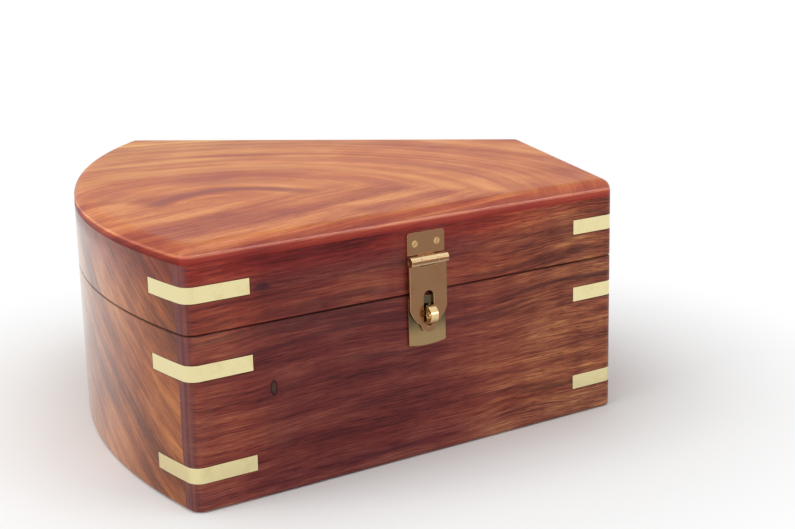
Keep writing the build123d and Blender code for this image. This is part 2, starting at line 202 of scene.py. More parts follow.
class Graph:
    """Node tree of one material or of the surroundings."""

    def __init__(self, owner: bpy.types.Material | bpy.types.World) -> None:
        """Empty the owner's node tree but for its output.

        Args:
            owner: The material or the surroundings.
        """
        owner.use_nodes = True
        self.owner = owner
        self.tree = owner.node_tree
        self.tree.nodes.clear()
        kind = "World" if isinstance(owner, bpy.types.World) else "Material"
        self.end = self.tree.nodes.new(f"ShaderNodeOutput{kind}")

    def node(
        self,
        kind: str,
        settings: dict[str, object],
        inputs: dict[str | int, Operand],
        output: str | int = 0,
    ) -> Wire:
        """Add any node.

        Args:
            kind: Blender's name of the node type.
            settings: Properties of the node.
            inputs: Wires or constants by socket name or number.
            output: Name or number of the output wanted.

        Returns:
            The wire of that output.
        """
        made = self.tree.nodes.new(kind)
        for key, value in settings.items():
            setattr(made, key, value)
        for key, value in inputs.items():
            self.feed(made.inputs[key], value)
        return Wire(self, made.outputs[output])

    def feed(self, socket: bpy.types.NodeSocket, value: Operand) -> None:
        """Link a wire to an input, or set the constant on it.

        Args:
            socket: The input.
            value: The wire or the constant.
        """
        if isinstance(value, Wire):
            self.tree.links.new(value.socket, socket)
        elif socket.type == "RGBA":
            socket.default_value = (*value, 1.0)
        else:
            socket.default_value = value

    def calculate(self, operation: str, *values: Operand) -> Wire:
        """Do one step of arithmetic.

        Args:
            operation: Name that the Math and Vector Math nodes share.
            values: Operands, at least one of them a wire.

        Returns:
            A number where all operands are numbers, else a vector.
        """
        settings = {"operation": operation}
        kinds = {v.socket.type if isinstance(v, Wire) else type(v) for v in values}
        if kinds <= {"VALUE", float, int}:
            return self.node("ShaderNodeMath", settings, dict(enumerate(values)))
        wide = [(v, v, v) if isinstance(v, (int, float)) else v for v in values]
        return self.node("ShaderNodeVectorMath", settings, dict(enumerate(wide)))

    def place(self) -> Wire:
        """Point on the piece in the case's frame, in millimetres."""
        return self.node("ShaderNodeTexCoord", {}, {}, "Object") * (1.0 / MM)

    def facing(self) -> Wire:
        """Direction that the surface faces, in the case's frame."""
        return self.node("ShaderNodeTexCoord", {}, {}, "Normal")

    def vector(self, x: Operand, y: Operand, z: Operand) -> Wire:
        """Vector of three numbers."""
        return self.node("ShaderNodeCombineXYZ", {}, {0: x, 1: y, 2: z})

    def stretched(self, lengths: tuple[Wire, Wire, Wire], spacing: Triple) -> Wire:
        """Vector that grows by one over each spacing."""
        return self.vector(*(length / step for length, step in zip(lengths, spacing)))

    def angle(self, y: Wire, x: Wire) -> Wire:
        """Angle of a direction about the vertical, in radians."""
        return self.node("ShaderNodeMath", {"operation": "ARCTAN2"}, {0: y, 1: x})

    def noise(self, at: Wire, detail: float = 2.0, roughness: float = 0.5) -> Wire:
        """Noise from 0 to 1 with a bump per unit; detail is the number of its finer octaves."""
        inputs = {"Vector": at, "Scale": 1.0, "Detail": detail, "Roughness": roughness}
        return self.node("ShaderNodeTexNoise", {}, inputs, "Fac")

    def bump(self, height: Wire, depth: float) -> Wire:
        """Normal bent by a relief, with the depth of a relief of 1 in millimetres."""
        inputs = {"Height": height, "Distance": depth * MM, "Strength": 1.0}
        return self.node("ShaderNodeBump", {}, inputs, "Normal")

    def close(self, shader: Wire) -> bpy.types.Material | bpy.types.World:
        """Send a shader to the output and return the owner."""
        self.feed(self.end.inputs["Surface"], shader)
        return self.owner

    def surface(self, inputs: dict[str | int, Operand]) -> bpy.types.Material:
        """Close the tree with a principled surface and return the material."""
        return self.close(self.node("ShaderNodeBsdfPrincipled", {}, inputs, "BSDF"))


# --- Case geometry that the finishes follow ---
BOW_RADIUS = 400.0
BOW_CENTRE = (230.0, -88.29)
# Place of each corner and the reach of its straps.
CORNERS = {
    "wide_front": (-167.27, -135.03, 36.0),
    "wide_back": (-33.96, 212.27, 36.0),
    "narrow_front": (112.74, -135.03, 30.0),
    "narrow_back": (174.13, 24.91, 30.0),
}
STRAP_MIDDLES = (19.9, 73.7, 113.8)
STRAP_HALF_WIDTH = 4.2
LID_TOP = 139.0
SAW_LINE = 93.2


def heading(degrees: float) -> Triple:
    """Level direction at an angle from the front wall."""
    return (math.cos(math.radians(degrees)), math.sin(math.radians(degrees)), 0.0)


class Side(Enum):
    """Side of the case, by the word in the names of its corners."""

    FRONT = "front"
    BACK = "back"
    NARROW = "narrow"
    WIDE = "wide"


class Run(Enum):
    """How the grain runs in a board: directions along, across and through it."""

    FRONT = (heading(0.0), UP, heading(90.0))
    BACK = (heading(-42.0), UP, heading(48.0))
    NARROW = (heading(69.0), UP, heading(-21.0))
    LENGTHWISE = (heading(-21.0), heading(69.0), UP)


# --- Finishes ---
@dataclass(frozen=True)
class Timber:
    """Colours and scale of one timber.

    Attributes:
        shades: Ramp from the dark to the light bands.
        vein: Colour of the thin dark veins.
        vein_share: Share of that colour in a vein.
        band: Width of the bands in millimetres.
        wander: How far the bands stray from straight lines.
        contrast: How strongly bands and threads use the ramp.
        threads: Strength of the fine threads beside the bands.
    """

    shades: tuple[tuple[float, Triple], ...]
    vein: Triple
    vein_share: float
    band: float
    wander: float
    contrast: float
    threads: float


@dataclass(frozen=True)
class Varnish:
    """Varnish over timber.

    Attributes:
        roughness: Roughness of a clean area.
        specular: Principled specular level of the wood below.
        coat: Coat weight of a clean area.
        coat_roughness: Roughness of the coat.
    """

    roughness: float
    specular: float
    coat: float
    coat_roughness: float


ROSEWOOD = Timber(
    shades=(
        (0.0, (0.105, 0.015, 0.014)),
        (0.35, (0.235, 0.038, 0.029)),
        (0.62, (0.32, 0.064, 0.04)),
        (1.0, (0.46, 0.135, 0.066)),
    ),
    vein=(0.07, 0.012, 0.02),
    vein_share=0.5,
    band=9.0,
    wander=5.0,
    contrast=0.9,
    threads=1.55,
)
LID_TIMBER = Timber(
    shades=(
        (0.0, (0.33, 0.07, 0.042)),
        (0.34, (0.475, 0.125, 0.052)),
        (0.6, (0.58, 0.18, 0.064)),
        (1.0, (0.76, 0.30, 0.10)),
    ),
    vein=(0.30, 0.06, 0.045),
    vein_share=0.5,
    band=15.0,
    wander=7.0,
    contrast=1.25,
    threads=0.95,
)
BENT_TIMBER = Timber(
    shades=(
        (0.0, (0.17, 0.045, 0.018)),
        (0.4, (0.34, 0.097, 0.031)),
        (0.65, (0.47, 0.153, 0.045)),
        (1.0, (0.63, 0.245, 0.075)),
    ),
    vein=(0.10, 0.028, 0.018),
    vein_share=0.55,
    band=14.0,
    wander=7.0,
    contrast=1.4,
    threads=0.9,
)
INNER_TIMBER = Timber(
    shades=(
        (0.0, (0.16, 0.055, 0.03)),
        (0.5, (0.27, 0.105, 0.055)),
        (1.0, (0.38, 0.17, 0.09)),
    ),
    vein=(0.09, 0.03, 0.018),
    vein_share=0.5,
    band=12.0,
    wander=6.0,
    contrast=1.5,
    threads=1.0,
)
LID_VARNISH = Varnish(roughness=0.45, specular=0.02, coat=0.15, coat_roughness=0.1)
WALL_VARNISH = Varnish(roughness=0.42, specular=0.05, coat=0.25, coat_roughness=0.12)
SIDE_VARNISH = Varnish(roughness=0.42, specular=0.05, coat=0.88, coat_roughness=0.1)
SATIN = Varnish(roughness=0.48, specular=0.15, coat=0.0, coat_roughness=0.3)


class WoodFinish:
    """Varnished wood whose figure follows the board it is cut from."""

    # Spacing of the figure in millimetres: the sway's along, across and through the board, the
    # others' across, along and through it.
    SWAY = (110.0, 60.0, 45.0)
    STREAKS = (2.4, 60.0, 6.0)
    THREADS = (0.8, 20.0, 5.0)
    VEINS = (5.5, 120.0, 14.0)
    PORES = (0.45, 7.0, 3.0)
    BAND_DEPTH = 25.0
    # Length of a band in band widths, and the shift that parts the veins from the bands.
    BAND_LENGTH = 13.0
    VEIN_SHIFT = 7.3
    # Size of the soft spots in millimetres.
    CLOUD = 36.0
    PATCH = 34.0
    SMEAR = 22.0
    ORANGE_PEEL = 5.0
    SPECK = 0.7
    # Bumps per millimetre, and the depth of the relief in millimetres.
    SCRATCHES = (0.02, 0.9, 0.9)
    CUT_LAYERS = (0.55, 0.55, 0.012)
    RELIEF = 0.05
    # Outer and inner edge of the soft line round a strap, in millimetres.
    LINE_EDGE = 0.75
    LINE_CORE = 0.4
    # Noise over which veins and pores come in.
    VEIN_STEP = (0.56, 0.7)
    PORE_STEP = (0.58, 0.7)

    CUT_SHADES = ((0.10, 0.034, 0.038), (0.235, 0.085, 0.075))
    JOINT_SHADE = (0.03, 0.008, 0.006)
    WORN_SHADE = (0.42, 0.24, 0.17)

    def __init__(self, name: str, timber: Timber, varnish: Varnish) -> None:
        """Start the finish.

        Args:
            name: Name of the material.
            timber: The wood.
            varnish: What covers it.
        """
        self.graph = Graph(bpy.data.materials.new(name))
        self.timber = timber
        self.varnish = varnish
        self.place = self.graph.place()

    def mottle(self, size: float, detail: float = 2.0, roughness: float = 0.5) -> Wire:
        """Noise with bumps of a size in millimetres."""
        return self.graph.noise(self.place * (1.0 / size), detail, roughness)

    def figure(
        self, along: Wire, across: Wire, through: Wire, fine: float = 1.0
    ) -> tuple[Wire, Wire]:
        """Draw the figure of the wood.

        Args:
            along: Length along the grain in millimetres.
            across: Length across it, on the face.
            through: Depth into the board.
            fine: Share of the fine threads that shows.

        Returns:
            The colour, and the open pores as a number from 0 to 1.
        """
        graph, timber = self.graph, self.timber
        sway = graph.noise(graph.stretched((along, across, through), self.SWAY), 1.0) - 0.5
        lengths = (across + sway * (timber.wander * 2.0), along, through)
        band_spacing = (timber.band, timber.band * self.BAND_LENGTH, self.BAND_DEPTH)
        bands = graph.noise(graph.stretched(lengths, band_spacing), 3.0)
        streaks = graph.noise(graph.stretched(lengths, self.STREAKS))
        threads = graph.noise(graph.stretched(lengths, self.THREADS), 2.0, 0.6)
        clouds = self.mottle(self.CLOUD)
        thin = (streaks * 0.5 + threads - 0.75) * (timber.threads * fine)
        mixed = (bands - 0.5) * 1.5 + (clouds - 0.5) * 0.7 + thin
        colour = (mixed * timber.contrast + 0.5).ramp(timber.shades)
        veins = graph.noise(graph.stretched(lengths, self.VEINS) + self.VEIN_SHIFT)
        vein = veins.rise(*self.VEIN_STEP) * (0.55 + threads * 0.9)
        colour = (vein * (timber.vein_share * fine)).blend(colour, timber.vein)
        pores = graph.noise(graph.stretched(lengths, self.PORES), 1.0).rise(*self.PORE_STEP)
        return colour * (1.0 - pores * (0.35 * fine)), pores

    def end_grain(self, colour: Wire, grain: Triple) -> Wire:
        """Darken and dull the faces that cut across the grain.

        Args:
            colour: Colour of the wood.
            grain: Direction along the grain.

        Returns:
            The colour with the cut ends.
        """
        graph = self.graph
        cut = graph.facing().dot(grain).size().rise(0.3, 0.92)
        layers = graph.noise(self.place * self.CUT_LAYERS).rise(0.25, 0.75)
        speckle = self.mottle(self.SPECK)
        bare = layers.blend(*self.CUT_SHADES) * (0.8 + speckle * 0.4)
        return (cut * 0.85).blend(colour, bare)

    def near_corner(self, x: float, y: float, reach: float) -> Wire:
        """Within the reach of a corner's straps, 0 to 1."""
        away = (self.place - (x, y, 0.0)) * LEVEL
        return away.length().rise(reach + self.LINE_EDGE, reach + self.LINE_CORE)

    def joints(self, colour: Wire, side: Side) -> Wire:
        """Darken the joint under the lid and the one round the let-in corner straps.

        Args:
            colour: Colour of the wood.
            side: Side of the case that the board is on.

        Returns:
            The colour with the joints.
        """
        height = self.place.part("Z")
        near = [self.near_corner(*spot) for name, spot in CORNERS.items() if side.value in name]
        gap = reduce(Wire.lowest, [(height - middle).size() for middle in STRAP_MIDDLES])
        outward = (self.place * self.graph.facing()).dot(LEVEL).rise(0.0, 10.0)
        level = gap.rise(STRAP_HALF_WIDTH + self.LINE_EDGE, STRAP_HALF_WIDTH + self.LINE_CORE)
        round_straps = reduce(Wire.highest, near) * outward * level
        saw_line = (height - SAW_LINE).size().rise(0.95, 0.35) * outward
        return (round_straps * 0.45).highest(saw_line * 0.7).blend(colour, self.JOINT_SHADE)

    def wear(self, colour: Wire) -> Wire:
        """Rub the colour a little lighter and greyer in soft patches."""
        patch = self.mottle(self.PATCH, 3.0, 0.6).rise(0.52, 0.8)
        return (patch * 0.1).blend(colour, self.WORN_SHADE)

    def close(
        self, colour: Wire, pores: Wire, thick: Operand = 0.0, gloss: Operand = 1.0
    ) -> bpy.types.Material:
        """Finish the material.

        Args:
            colour: Colour of the wood with its marks.
            pores: Open pores, 0 to 1.
            thick: Where the varnish has gathered, 0 to 1.
            gloss: Share of the coat that is left.

        Returns:
            The material.
        """
        graph, varnish = self.graph, self.varnish
        smear = self.mottle(self.SMEAR, 3.0, 0.55)
        scratch = graph.noise(self.place * self.SCRATCHES).rise(0.62, 0.75)
        orange_peel = self.mottle(self.ORANGE_PEEL, 1.0)
        relief = orange_peel * 0.6 - pores * 0.4 - scratch * 0.12
        coat = varnish.coat * (1.15 - smear * 0.3) * gloss + thick * (1.0 - varnish.coat)
        return graph.surface(
            {
                "Base Color": colour,
                "Roughness": varnish.roughness + smear * 0.1 + pores * 0.12,
                "Specular IOR Level": varnish.specular,
                "Coat Weight": coat,
                "Coat Roughness": varnish.coat_roughness,
                "Coat IOR": 1.45,
                "Normal": graph.bump(relief, self.RELIEF),
            }
        )


class LidTopFinish(WoodFinish):
    """Lid panel with straight streaks near the front and rings round a knot behind them."""

    RING_CENTRE = (-95.0, -61.0, 0.0)
    RING_LENGTH = 120.0
    # Radius, width, strength and shade of the rings that stand out.
    RINGS = (
        (50.0, 10.0, 0.85, (0.27, 0.066, 0.05)),
        (74.0, 14.0, 0.3, (0.66, 0.27, 0.085)),
        (98.0, 12.0, 0.4, (0.40, 0.10, 0.055)),
        (126.0, 14.0, 0.45, (0.68, 0.28, 0.09)),
        (158.0, 12.0, 0.3, (0.45, 0.13, 0.06)),
    )
    # Length of the waves in them and how far they swing.
    WAVE = 60.0
    SWING = 24.0
    STREAK_HEADING = 14.0
    # Line behind which the rings begin: its place, its two bends along X and its softness.
    BEHIND = -46.0
    NARROW_BEND = (-20.0, 70.0)
    WIDE_BEND = (-122.0, -162.0)
    FADE = 20.0
    # Depth over which the painted sheen of the back comes in.
    BACK = (20.0, 170.0)
    # How far the figure moves on for each millimetre down the rounded edge.
    SLANT = (-2.0, -4.0, 0.0)
    # Heights of the edge's foot and of its painted highlight line, and the size of the spots in
    # that line.
    EDGE_FOOT = LID_TOP - 7.0
    HIGHLIGHT_HEIGHT = LID_TOP - 5.7
    UNEVEN = 11.0

    # Painted sheen: the back of the top is made paler.
    BACK_SHEEN_TONE = (1.08, 1.44, 1.4)
    # Painted highlight along the edge: how much it lightens and the light it adds.
    HIGHLIGHT_TONE = (1.35, 1.5, 1.5)
    HIGHLIGHT_GLOW = (0.06, 0.025, 0.02)
    # Tones of the edge, away from the front and at the front: painted sheen on the rim, painted
    # shade on the lip and the foot below the highlight.
    RIM_SHEEN_TONES = ((0.94, 0.9, 1.08), (1.1, 1.0, 1.4))
    LIP_SHADE_TONES = ((0.66, 0.28, 0.27), (0.82, 0.36, 0.36))
    FOOT_SHADE_TONES = ((0.62, 0.4, 0.4), (0.72, 0.42, 0.45))

    def make(self) -> bpy.types.Material:
        """Build the finish.

        Returns:
            The material.
        """
        height = self.place.part("Z")
        drop = LID_TOP - height
        over = self.place + drop * self.SLANT
        depth = LID_TOP - drop * 0.25
        along = over.dot(heading(self.STREAK_HEADING))
        across = over.dot(heading(self.STREAK_HEADING + 90.0))
        straight, straight_pores = self.figure(along, across, depth, 0.85)
        away = (over - self.RING_CENTRE) * LEVEL
        radius = away.length()
        turn = self.graph.angle(away.part("Y"), away.part("X"))
        rings, ring_pores = self.figure(turn * self.RING_LENGTH, radius, depth, 0.45)
        share = self.rings_share(over)
        colour = self.strong_rings(share.blend(straight, rings), radius, share)
        # The back of the top made paler as painted sheen.
        colour = colour.toned(self.place.part("Y").rise(*self.BACK), self.BACK_SHEEN_TONE)
        colour = self.edge(self.wear(colour), height)
        level = self.graph.facing().part("Z").size().rise(0.3, 0.95)
        pores = (share * ring_pores + (1.0 - share) * straight_pores) * level
        thick = height.rise(LID_TOP - 2.0, LID_TOP - 4.5) * self.front() * 0.4
        return self.close(colour, pores, thick=thick)

    def rings_share(self, over: Wire) -> Wire:
        """Find where the rings replace the straight streaks.

        Args:
            over: Place, carried on over the rounded edge.

        Returns:
            A number from 0 to 1.
        """
        x = over.part("X")
        border = self.BEHIND - x.rise(*self.NARROW_BEND) * 110.0 + x.rise(*self.WIDE_BEND) * 70.0
        return (over.part("Y") - border).rise(-self.FADE, self.FADE)

    def strong_rings(self, colour: Wire, radius: Wire, share: Wire) -> Wire:
        """Draw the rings that stand out.

        Args:
            colour: Colour of the wood.
            radius: Distance from the knot.
            share: Where the rings replace the straight streaks.

        Returns:
            The colour with those rings.
        """
        wavy = radius + (self.mottle(self.WAVE) - 0.5) * self.SWING
        for ring, width, strength, shade in self.RINGS:
            mark = (wavy - ring).size().rise(width, width * 0.2) * share
            colour = (mark * strength).blend(colour, shade)
        return colour

    def front(self) -> Wire:
        """Where the surface faces the front, 0 to 1."""
        return self.graph.facing().dot(FORWARD).rise(0.1, 0.6)

    def edge(self, colour: Wire, height: Wire) -> Wire:
        """Paint light and shade on the lid's rounded edge: a rim of painted sheen, a painted
        highlight line, and painted shade that reddens and darkens the part below it.

        Args:
            colour: Colour of the wood.
            height: Height in the case's frame.

        Returns:
            The colour with the edge.
        """
        outer = self.graph.facing().part("Z").rise(-0.8, -0.4)
        # Painted sheen on the rim of the rounded edge.
        rim = height.rise(LID_TOP - 0.1, LID_TOP - 1.8) * outer
        colour = colour.toned(rim, self.front().blend(*self.RIM_SHEEN_TONES))
        uneven = 0.7 + self.mottle(self.UNEVEN) * 0.5
        # Painted highlight: a lighter line along the edge, uneven along its length.
        wear_and_highlight = (height - self.HIGHLIGHT_HEIGHT).size().rise(1.2, 0.2) * uneven
        colour = wear_and_highlight.blend(colour, colour * self.HIGHLIGHT_TONE + self.HIGHLIGHT_GLOW)
        # Painted shade below the highlight, darker still at the foot down to the joint.
        lip_shade = height.rise(self.HIGHLIGHT_HEIGHT, self.HIGHLIGHT_HEIGHT - 1.6) * outer
        colour = colour.toned(lip_shade, self.front().blend(*self.LIP_SHADE_TONES))
        foot = height.rise(self.EDGE_FOOT - 0.2, self.EDGE_FOOT - 2.6) * outer
        return colour.toned(foot, self.front().blend(*self.FOOT_SHADE_TONES))


class BentSideFinish(WoodFinish):
    """Bent end, its grain climbing away from the front corner round the bow."""

    CLIMB = math.radians(30.0)
    FRONT_CORNER_TURN = math.atan2(CORNERS["wide_front"][1] - BOW_CENTRE[1], BOW_RADIUS)
    # Heights over which a tone comes in.
    UPPER = (104.0, 124.0)
    # Painted shade under the lid's edge comes in between these heights.
    UNDER_LID_SHADE = (119.0, 127.0)
    CORNER_HEIGHT = (35.0, 85.0)
    # Lengths round the bow over which a tone comes in.
    CORNER = (75.0, 5.0)
    ROUND = (15.0, 110.0)
    FAR = (110.0, 190.0)

    UPPER_TONE = (0.72, 0.45, 0.45)
    # Painted shade under the lid's edge.
    UNDER_LID_SHADE_TONE = (0.75, 0.75, 0.75)
    CORNER_TONE = (0.93, 0.8, 0.6)
    # Painted sheen: the far part of the bow is made paler and greyer.
    FAR_SHEEN_TONE = (0.9, 1.1, 1.1)

    def make(self) -> bpy.types.Material:
        """Build the finish.

        Returns:
            The material.
        """
        away = (self.place - (*BOW_CENTRE, 0.0)) * LEVEL
        turn = self.graph.angle(away.part("Y"), -away.part("X"))
        round_bow = (turn - self.FRONT_CORNER_TURN) * BOW_RADIUS
        height = self.place.part("Z")
        along = round_bow * math.cos(self.CLIMB) + height * math.sin(self.CLIMB)
        across = height * math.cos(self.CLIMB) - round_bow * math.sin(self.CLIMB)
        colour, pores = self.figure(along, across, away.length())
        colour = colour.toned(height.rise(*self.UPPER), self.UPPER_TONE)
        bent_away = round_bow.rise(*self.ROUND)
        # Painted shade on the wall just under the lid's edge, away from the front corner.
        shade_under_lid = height.rise(*self.UNDER_LID_SHADE) * bent_away
        colour = colour.toned(shade_under_lid, self.UNDER_LID_SHADE_TONE)
        corner = round_bow.rise(*self.CORNER) * height.rise(*self.CORNER_HEIGHT)
        colour = colour.toned(corner, self.CORNER_TONE)
        # Painted sheen on the far part of the bow.
        colour = colour.toned(round_bow.rise(*self.FAR), self.FAR_SHEEN_TONE)
        colour = self.joints(colour, Side.WIDE)
        # The painted shade under the lid also takes off part of the coat.
        gloss = (0.45 + bent_away * 0.55) * (1.0 - shade_under_lid * 0.35)
        return self.close(self.wear(colour), pores, gloss=gloss)


class BoardFinish(WoodFinish):
    """Straight board of the walls, with its cut end and the joints round the straps."""

    def make(self, run: Run, side: Side | None = None) -> bpy.types.Material:
        """Build the finish.

        Args:
            run: How the grain runs.
            side: Side of the case that the board is on, if it is a wall.

        Returns:
            The material.
        """
        along, across, through = (self.place.dot(direction) for direction in run.value)
        colour, pores = self.figure(along, across, through)
        colour = self.marks(colour)
        if side:
            colour = self.joints(colour, side)
        colour = self.end_grain(colour, run.value[0])
        return self.close(self.wear(colour), pores)

    def marks(self, colour: Wire) -> Wire:
        """Leave the colour as it is, for boards without marks of their own."""
        return colour


class FrontFinish(BoardFinish):
    """Front board and rail, browner at the narrow end, with a filled knot and a dark mark."""

    # Lengths along the front over which a tone comes in.
    BROWN = (-20.0, 85.0)
    # Painted shade across the middle of the front comes in between these lengths.
    SHADE_WIDE_END = (-145.0, -118.0)
    SHADE_NARROW_END = (35.0, -30.0)
    CORNER = (-130.0, -152.0)
    # Heights over which a tone comes in.
    FOOT = (20.0, 6.0)
    BELOW_EDGE = (112.0, 126.0)
    ABOVE_SEAM = (92.0, 94.0)
    BELOW_STRAPS = (114.0, 104.0)

    BROWN_TONE = (1.1, 1.65, 1.2)
    MIDDLE_RED = 0.29
    # Painted shade across the middle of the front.
    MIDDLE_SHADE_TONE = (0.67, 0.64, 0.8)
    CORNER_TONE = (1.1, 1.32, 1.25)
    FOOT_TONE = (1.15, 1.42, 1.55)
    CRIMSON_TONE = (1.35, 0.66, 0.62)
    WARM_TONE = (1.25, 1.18, 1.0)
    # Middle, half width and half height of the two ovals.
    PLUG = (-119.7, 58.0, 1.75, 3.5)
    MARK = (-124.0, 112.2, 6.5, 2.8)
    # Bumps per millimetre of the mark's ragged edge.
    RAGGED = 0.6
    PLUG_SHADE = (0.055, 0.04, 0.032)
    PLUG_RIM_SHADE = (0.02, 0.006, 0.006)
    MARK_SHADE = (0.035, 0.012, 0.02)

    def oval(self, x: float, z: float, half_width: float, half_height: float) -> Wire:
        """Distance from the middle of an oval, 1 on the oval."""
        offset = (self.place - (x, 0.0, z)) * (1.0 / half_width, 0.0, 1.0 / half_height)
        return offset.length()

    def marks(self, colour: Wire) -> Wire:
        """Add the local differences of the front.

        Args:
            colour: Colour of the wood.

        Returns:
            The colour with the browner end, the painted shade across the middle, the plug and the
            mark.
        """
        x, height = self.place.part("X"), self.place.part("Z")
        brown = x.rise(*self.BROWN)
        colour = colour.toned(brown, self.BROWN_TONE)
        colour = colour.toned(brown * 0.65, colour.part("X") / self.MIDDLE_RED)
        # Painted shade across the middle of the front, between the wide corner's straps and the
        # hasp.
        shaded_middle = x.rise(*self.SHADE_WIDE_END) * x.rise(*self.SHADE_NARROW_END)
        colour = colour.toned(shaded_middle, self.MIDDLE_SHADE_TONE)
        colour = colour.toned(x.rise(*self.CORNER), self.CORNER_TONE)
        colour = colour.toned(height.rise(*self.FOOT), self.FOOT_TONE)
        below_edge = height.rise(*self.BELOW_EDGE) * (1.0 - brown * 0.7)
        colour = colour.toned(below_edge, self.CRIMSON_TONE)
        low_rail = height.rise(*self.ABOVE_SEAM) * height.rise(*self.BELOW_STRAPS)
        colour = colour.toned(low_rail * (1.0 - brown), self.WARM_TONE)
        plug = self.oval(*self.PLUG)
        colour = (plug.rise(0.95, 0.55) * 0.8).blend(colour, self.PLUG_SHADE)
        rim = (plug - 1.0).size().rise(0.4, 0.1)
        colour = (rim * 0.8).blend(colour, self.PLUG_RIM_SHADE)
        smudge = self.oval(*self.MARK) + self.graph.noise(self.place * self.RAGGED) - 0.5
        return (smudge.rise(1.1, 0.3) * 0.7).blend(colour, self.MARK_SHADE)


@dataclass(frozen=True)
class BrassFinish:
    """Lacquered brass.

    Attributes:
        name: Name of the material.
        colour: Colour of the flat metal.
        roughness: Roughness of a polished area.
        brushing: Direction across the fine polishing lines.
        edge: Colour of the worn edges and rounded parts.
        foot: Height in millimetres below which the metal turns halfway to the edge colour.
    """

    name: str
    colour: Triple
    roughness: float
    brushing: Triple
    edge: Triple
    foot: float = 0.0

    DULLING = (0.8, 0.72, 0.58)
    # Size of the tarnished patches and of the waves in the sheet, the height over which the
    # lighter foot comes in and the depth of the relief, in millimetres.
    PATCH = 9.0
    WAVE = 8.0
    FADE = 12.0
    RELIEF = 0.03
    # Bumps per millimetre of the small spots.
    SPOTS = 1.1

    def make(self) -> bpy.types.Material:
        """Build the finish.

        Returns:
            The material.
        """
        graph = Graph(bpy.data.materials.new(self.name))
        place = graph.place()
        tarnish = graph.noise(place * (1.0 / self.PATCH), 3.0, 0.6).rise(0.45, 0.8)
        lines = graph.noise(place * self.brushing, 2.0, 0.6)
        spots = graph.noise(place * self.SPOTS).rise(0.68, 0.78)
        dull = tuple(part * share for part, share in zip(self.colour, self.DULLING))
        colour = (tarnish * 0.5 + spots * 0.3).blend(self.colour, dull)
        bent = graph.facing().part("Y").size().rise(0.98, 0.85)
        low = place.part("Z").rise(self.foot, self.foot - self.FADE) * 0.5
        colour = bent.highest(low).blend(colour, self.edge)
        relief = lines * 0.3 + graph.noise(place * (1.0 / self.WAVE), 1.0) * 3.0
        return graph.surface(
            {
                "Base Color": colour,
                "Metallic": 1.0,
                "Roughness": self.roughness + lines * 0.06 + tarnish * 0.12,
                "Normal": graph.bump(relief, self.RELIEF),
            }
        )


